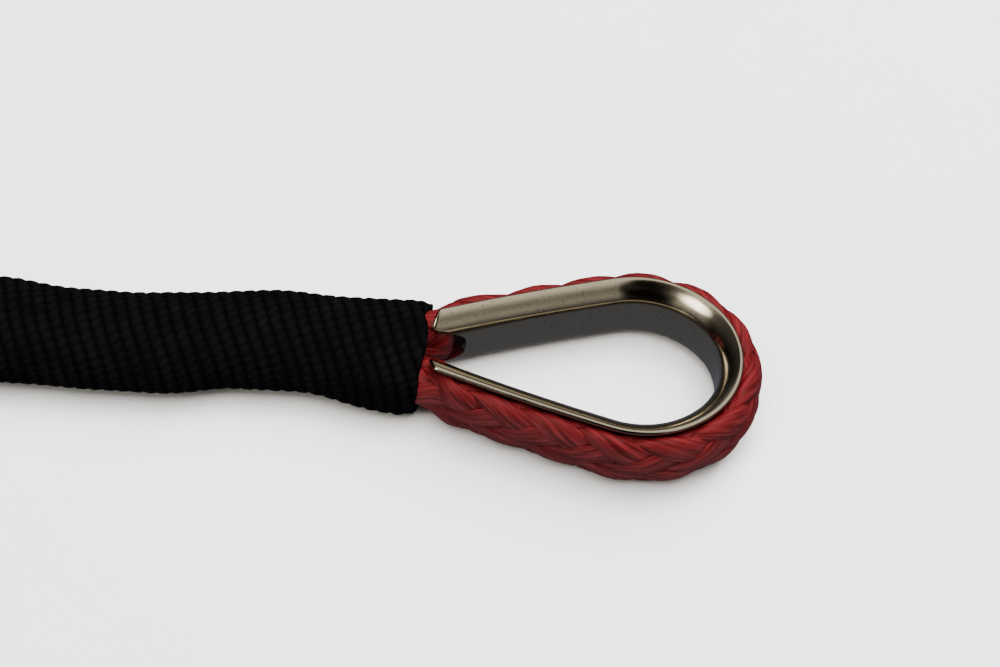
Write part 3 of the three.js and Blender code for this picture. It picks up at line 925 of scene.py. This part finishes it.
def eye_strand(hand, number, material):
    """One strand of the eye, as a flat lens carried round the oval of the rope.

    Its middle turns once in a pitch, one way or the other, and rides out and in as a cosine of the
    crossings it passes. The lens lies on the oval: a point across it is moved round the oval and
    along the rope, at right angles to the strand, and a height across it widens the oval. The oval
    itself is a little wider round the crown, and behind the arms it narrows to the throat's, while
    the legs swell towards each other, then move aside with the throat.
    """
    name = f"eye_strand_{'s' if hand > 0 else 'z'}{number + 1}"
    seed = 10 * number + hand + 2
    reach = LEG_LENGTH + LEG_INTO_SPLICE
    middle = np.linspace(-reach, reach, STRAND_ROWS)[:, None]
    turned = 2 * math.pi * np.arange(STRAND_COLUMNS)[None] / STRAND_COLUMNS
    fullness = 1 + 0.1 * wave(middle, [31 * MM, 17 * MM, 47 * MM], seed)
    width = 1 + 0.06 * wave(middle, [23 * MM, 41 * MM], seed + 100)
    yarns = 1 + 0.05 * np.cos(YARNS * turned + middle / YARN_TWIST + seed)
    across = STRAND_HALF[0] * width * np.cos(turned) * yarns
    height = STRAND_HALF[1] * fullness * np.sin(turned) * yarns
    share = number / STRANDS_PER_HAND + hand * middle / BRAID_PITCH
    crossing = 2 * STRANDS_PER_HAND * share
    lift = hand * STRAND_LIFT * np.cos(RIGHT_ANGLE * (crossing - 0.5))
    slant = math.atan(OVAL_LENGTH / BRAID_PITCH)
    share = share + across * math.cos(slant) / OVAL_LENGTH
    along = middle - hand * across * math.sin(slant)
    behind = np.abs(along) - ARM_LENGTH
    near = ease(behind, *NARROWING)
    crown = CROWN_WIDER * (1 - ease(np.abs(along), *CROWN_STRETCH))
    spread_in = LEG_SPREAD * swell(behind, SPREAD_RISE, SPREAD_FALL)
    stands_out = LEG_STANDS_OUT * swell(along - ARM_LENGTH, OUT_RISE, OUT_FALL)
    side = mix(EYE_HALF[0], THROAT_HALF[0], near) + crown + 0.8 * spread_in
    upright = mix(EYE_HALF[1], THROAT_HALF[1], near)
    # An equal share of the oval is a smaller angle on its flat sides than at its ends.
    uneven = 0.6 * (upright - side) / (upright + side)
    angle = 2 * math.pi * share - uneven * np.sin(4 * math.pi * share)
    out = (side + lift + height) * np.cos(angle) + crown + stands_out - 1.3 * spread_in
    up = (upright + lift + height) * np.sin(angle)
    place, outward = follow(LEG_LINE, EYE_OFFSET, along)
    flat = place + outward * out[..., None]
    flat[..., 1] += THROAT_ASIDE * ease(behind, *GOING_ASIDE)
    z = mix(RIM_HEIGHT, AXIS_Z, near) + up
    points = np.concatenate([flat, z[..., None]], -1)
    around = np.arange(STRAND_COLUMNS + 1)[None] / STRAND_COLUMNS
    uv = np.stack(np.broadcast_arrays(middle + seed, around), -1)
    strand = surface(name + "_yarns", points, material, uv)
    stand_for(strand, "rope_eye", "red_rope", name)


RED_STRAND = red_strand()
for strand_number in range(STRANDS_PER_HAND):
    for strand_hand in (1, -1):
        eye_strand(strand_hand, strand_number, RED_STRAND)

# ---- The thimble ----

BASE_HALF = 3.5 * MM  # half width of the bottom of the groove
BEND = 3.0 * MM  # length of the bend between the bottom and a flange
FLANGE = 3.8 * MM
BASE_TILT = math.radians(4)  # how far the bottom leans over before its bend
FLANGE_FOOT = math.radians(50)  # steepness of the flange at its foot and at its rim
FLANGE_RIM = math.radians(22)
END_NOTCH = 7.5 * MM  # depth of the scallop in each end
NOTCH_HALF = 6.1 * MM
RIM_CORNER = 4.0 * MM  # radius of the flanges' corners
CHANNEL_ROWS, CHANNEL_COLUMNS = 380, 58


def thimble_profile(across):
    """Middle line of the sheet across the channel: its place and the sheet's normal, both outwards
    and upwards.

    Its steepness goes from upright in the middle, a little off at the bend, round the bend, and
    then slowly flatter up to the rim. The line is that steepness summed up.
    """
    fine = np.linspace(0, BASE_HALF + BEND + FLANGE, 1200)
    bottom = RIGHT_ANGLE - BASE_TILT * np.clip(fine / BASE_HALF, 0, 1)
    flange_share = np.clip((fine - BASE_HALF - BEND) / FLANGE, 0, 1)
    flange = mix(FLANGE_FOOT, FLANGE_RIM, flange_share)
    steep = mix(bottom, flange, ease(fine, BASE_HALF, BASE_HALF + BEND))
    step = fine[1]
    out = SHEET / 2 + np.concatenate([[0], np.cumsum(np.cos(steep[:-1]) * step)])
    up = np.concatenate([[0], np.cumsum(np.sin(steep[:-1]) * step)])
    distance, side = np.abs(across), np.where(across < 0, -1.0, 1.0)
    slope = np.interp(distance, fine, steep)
    place = np.interp(distance, fine, out), side * np.interp(distance, fine, up)
    return place, (np.sin(slope), -side * np.cos(slope))


def thimble_reach(height):
    """How far the channel reaches: its bottom is scalloped and the rims' corners are round."""
    h = np.abs(height)
    scallop = 1 - np.clip(h / NOTCH_HALF, 0, 1) ** 3
    # The corner stops just short of the rim, where its outline would turn square to the arm.
    corner = np.clip((h - RIM_HEIGHT + RIM_CORNER) / RIM_CORNER, 0, 0.995)
    rounded = 1 - np.sqrt(1 - corner**2)
    return chain_length(BORE_LINE, 0) - END_NOTCH * scallop - RIM_CORNER * rounded


def from_edge(count, total, edge_count=7):
    """Distances from one border of the sheet to the other, close together by both borders."""
    edge = SHEET / 2 * (1 - np.cos(np.linspace(0, RIGHT_ANGLE, edge_count)))
    inner = np.linspace(SHEET / 2, total - SHEET / 2, count)[1:-1]
    return np.concatenate([edge, inner, total - edge[::-1]])


def half_round(distance):
    """Share of the sheet's thickness near a border, which is rounded to a half circle."""
    share = np.clip(distance / (SHEET / 2), 0, 1)
    return np.sqrt(1 - (1 - share) ** 2)


def make_thimble(material):
    """The pressed channel: its middle surface is the profile swept along the bore line, and the
    bore side and the groove side lie half a thickness off it, meeting in a rounded border."""
    wide = 2 * (BASE_HALF + BEND + FLANGE)
    from_rim = from_edge(CHANNEL_COLUMNS, wide)
    across = from_rim - wide / 2
    (out, up), (normal_out, normal_up) = thimble_profile(across)
    reach = thimble_reach(up)
    share = from_edge(CHANNEL_ROWS, 2 * chain_length(BORE_LINE, 0))
    share = share / share[-1]
    length = (2 * share[:, None] - 1) * reach
    edge = np.minimum(share, 1 - share)[:, None] * 2 * reach
    thickness = SHEET / 2 * half_round(edge) * half_round(np.minimum(from_rim, from_rim[::-1]))
    place, outward = follow(BORE_LINE, 0, length)
    sheets = []
    for side in (-1, 1):
        far = out + side * thickness * normal_out
        flat = place + outward * far[..., None]
        z = RIM_HEIGHT + up + side * thickness * normal_up
        sheets.append(np.concatenate([flat, z[..., None]], -1))
    # Round the channel's section: down one side of the sheet and back up the other.
    loop = np.concatenate([sheets[1], sheets[0][:, -2:0:-1]], 1)
    thimble = surface("thimble_channel", loop, material)
    stand_for(thimble, "rope_eye", "stainless", "thimble")


make_thimble(stainless_steel())

# ---- The chafe sleeve ----

RIDGE = 2.9 * MM  # along the sleeve from one ridge of the weave to the next
RIDGES_ROUND = 8  # ridges that wind round the sleeve side by side
STITCH = 1.9 * MM
SLEEVE_GIRTH = 63.5 * MM
SLEEVE_WALL = 0.9 * MM
SLEEVE_HALF = (11.9 * MM, 7.0 * MM)  # half width and half height
MOUTH_WIDER = (1.1 * MM, 1.3 * MM)
WEAVE_RELIEF = 0.65 * MM  # from a seam to a crown
FRONT_LEAN = 0.44  # angle round the sleeve where its front edge stands furthest forward
FRONT_REACH = 22 * MM  # how far back the front edge's unevenness is felt
FLOOR_GAP = 0.15 * MM
SLEEVE_COLUMNS = 150
OUTSIDE_ROWS = 330
INSIDE_ROWS = 60


def sleeve_shape(x):
    """Sideways place of the sleeve's middle, its half width and half height, and how round its
    section is, along its length, by stretches counted in millimetres back from its mouth.

    Its middle lies a little to +Y of the axis. It swings further out behind the mouth, in almost to
    the axis beyond, and out again. It is spread at its mouth and a little wider at the back. The
    height round the section is a power of the sine, 1 for an oval and less when squarer.
    """
    back = (SLEEVE_HIGH.x - x) / MM
    aside = 1.0 + 0.35 * ease(back, 2, 16) + 0.4 * (1 - ease(back, 28, 50))
    aside = aside + 0.8 * swell(back, (6, 24), (28, 50)) + 0.9 * swell(back, (12, 28), (38, 54))
    aside = aside - 1.1 * swell(back, (40, 66), (72, 95))
    mouth = 1 - ease(back, 2, 24)
    half_y = SLEEVE_HALF[0] + MOUTH_WIDER[0] * mouth + 0.5 * MM * ease(back, 75, 92)
    half_y = half_y + 0.25 * MM * wave(x, [31 * MM, 19 * MM], 4)
    half_z = SLEEVE_HALF[1] + MOUTH_WIDER[1] * mouth + 0.15 * MM * wave(x, [37 * MM, 23 * MM], 5)
    return aside * MM, half_y, half_z, 1 - 0.35 * mouth


def sleeve_relief(x, around):
    """Height of the weave, from 0 in a seam to 1 on a crown: steep ridges wind round the sleeve,
    and each is a row of slanting stitches."""
    phase = x / RIDGE - RIDGES_ROUND * around + 0.3 * wave(around, [1 / 2, 1 / 3], 11)
    aside = phase - np.round(phase)
    ridge = np.sqrt(np.clip(1 - (1.9 * aside) ** 2, 0, 1))
    run = around * SLEEVE_GIRTH / STITCH + 0.5 * np.round(phase) + 0.9 * aside
    stitch = np.sqrt(np.abs(np.cos(math.pi * run)))
    return ridge * (0.5 + 0.5 * stitch)


def make_sleeve(material):
    """The woven sleeve, as a ring of rows: forwards on its outside, round its front edge, back on
    its inside and round its back edge. Its outside stands out by the weave."""
    wall = SLEEVE_WALL
    low, high = SLEEVE_LOW.x + wall / 2, SLEEVE_HIGH.x - wall / 2
    around = np.arange(SLEEVE_COLUMNS) / SLEEVE_COLUMNS
    angle = 2 * math.pi * around
    lip = np.linspace(0, math.pi, 7)[1:-1]
    outside = np.linspace(low, high, OUTSIDE_ROWS)
    inside = np.linspace(high, low, INSIDE_ROWS)
    front_lip, back_lip = high + wall / 2 * np.sin(lip), low - wall / 2 * np.sin(lip)
    x = np.concatenate([outside, front_lip, inside, back_lip])
    falling = (1 + np.cos(lip)) / 2
    level = np.concatenate([np.ones(OUTSIDE_ROWS), falling, np.zeros(INSIDE_ROWS), 1 - falling])
    # The front edge stands further forward at +Y than at -Y, and waves a little in between.
    front = 0.9 * MM * (1 + np.cos(angle - FRONT_LEAN)) + 0.5 * MM * wave(around, [1 / 3, 1 / 5], 8)
    pulled = x[:, None] + front * ease(x, high - FRONT_REACH, high)[:, None]
    relief = sleeve_relief(pulled, around[None])
    aside, half_y, half_z, roundness = sleeve_shape(x)
    flat_top = np.sign(np.sin(angle)) * np.abs(np.sin(angle)) ** roundness[:, None]
    depth = (1 - level)[:, None] * wall
    stands = WEAVE_RELIEF * (relief - 0.75) * level[:, None]
    drawn_in = 1 - 0.05 * ease(x, high - 3 * MM, high)  # the front edge hugs the rope
    y = aside[:, None] + ((half_y * drawn_in)[:, None] - depth + stands) * np.cos(angle)
    z = AXIS_Z + ((half_z * drawn_in)[:, None] - depth + stands) * flat_top
    z = np.maximum(z, FLOOR_GAP)
    points = np.stack([pulled, y, z], -1)
    sleeve = surface("sleeve_weave", points, material, ring=True, facing=relief * level[:, None])
    stand_for(sleeve, "sleeve", "black_sleeve", "chafe_sleeve")


make_sleeve(black_weave())

# ---- Ties, heat shrink and lug ----

TIE_WIDTH = 10 * MM
TIE_THICK = 1 * MM
TIE_GAP = 0.1 * MM  # between a tie and the sides of the hank
TIE_SQUARENESS = 0.35  # power of the sine and cosine in its section, less when squarer
SHRINK_WALL = 0.8 * MM
SHRINK_START = 8 * MM  # from where the rope's end runs straight


def rounded_box_loop(half_across, half_up, bend, steps):
    """Places and outward directions round a rectangle with rounded corners, in its own plane."""
    x, y = half_across - bend, half_up - bend
    corners = np.array([(x, -y), (x, y), (-x, y), (-x, -y)])
    starts = np.radians([-90, 0, 90, 180])
    angle = (starts[:, None] + np.linspace(0, RIGHT_ANGLE, steps)).ravel()
    outward = np.stack([np.cos(angle), np.sin(angle)], -1)
    return np.repeat(corners, steps, axis=0) + bend * outward, outward


def make_tie(number, material):
    """A woven strap closed round the hank: a flat section with rounded edges, carried round the
    hank's own section."""
    low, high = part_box(f"hank_tie_{number}")
    middle = (low + high) / 2
    hub = Vector((min(max(middle.x, HANK_FAR), HANK_NEAR), HANK_SIDE, middle.z))
    radial = (middle - hub).normalized()
    half_up = (high.z - low.z) / 2 - TIE_THICK / 2
    half_across = HANK_COLUMNS * ROPE / 2 + TIE_THICK / 2 + TIE_GAP
    place, outward = rounded_box_loop(half_across, half_up, ROPE / 2 + TIE_THICK / 2, 12)
    centre = np.array(hub + radial * (OUTER_BEND - HANK_COLUMNS * ROPE / 2))
    radial, up = np.array(radial), np.array([0, 0, 1.0])
    turned = 2 * math.pi * np.arange(24) / 24
    wide, deep = (np.sign(s) * np.abs(s) ** TIE_SQUARENESS for s in (np.cos(turned), np.sin(turned)))
    across = TIE_WIDTH / 2 * wide
    thick = TIE_THICK / 2 * deep
    far = place[:, None] + outward[:, None] * thick[:, None]
    side = np.cross(up, radial)
    points = centre + radial * far[..., :1] + up * far[..., 1:] - side * across[:, None]
    tie = surface(f"tie_strap_{number}", points, material, ring=True)
    stand_for(tie, "rope_eye", "strap", f"hank_tie_{number}")
    return tie


def make_shrink(material):
    """Heat shrink over the rope where it goes into the lug, with rounded ends."""
    inner, outer = ROPE / 2 + 0.1 * MM, ROPE / 2 + SHRINK_WALL
    distance = np.array([0, 0.3, 0.8, 6, 12, 19.2, 19.7, 20]) * MM
    radius = np.array([inner, outer - 0.2 * MM, outer, outer, outer, outer, outer - 0.2 * MM, inner])
    start = free_rope_path[-1] + np.array([END_STRAIGHT - SHRINK_START, 0, 0])
    centre = start - distance[:, None] * np.array([1.0, 0, 0])
    sideways = np.broadcast_to(np.array([0, -1.0, 0]), centre.shape)
    upwards = np.broadcast_to(np.array([0, 0, 1.0]), centre.shape)
    shrink = tube("heat_shrink_tube", centre, sideways, upwards, radius, 48, material)
    stand_for(shrink, "rope_eye", "heat_shrink", "end_heat_shrink")
    return shrink


# Woven webbing is dull black with a fine grain, shrunk polyolefin is smooth and half matt, and tin
# plate on a copper tube is a pale, blurred mirror.
STRAP = plain_material("black_woven_polyester_strap", "#0c0c0d", "#1d1d20", 0.7 * MM, 0.8)
SHRINK = plain_material("black_polyolefin_heat_shrink", "#101011", "#1a1a1b", 2 * MM, 0.45)
TIN = plain_material("tinned_copper", "#a9acae", "#c6c8ca", 1.5 * MM, 0.28, 1.0, 0.02 * MM)
ties = [make_tie(number, STRAP) for number in (1, 2, 3)]
shrink = make_shrink(SHRINK)
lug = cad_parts["terminal_lug"]
lug.data.materials.clear()
lug.data.materials.append(TIN)
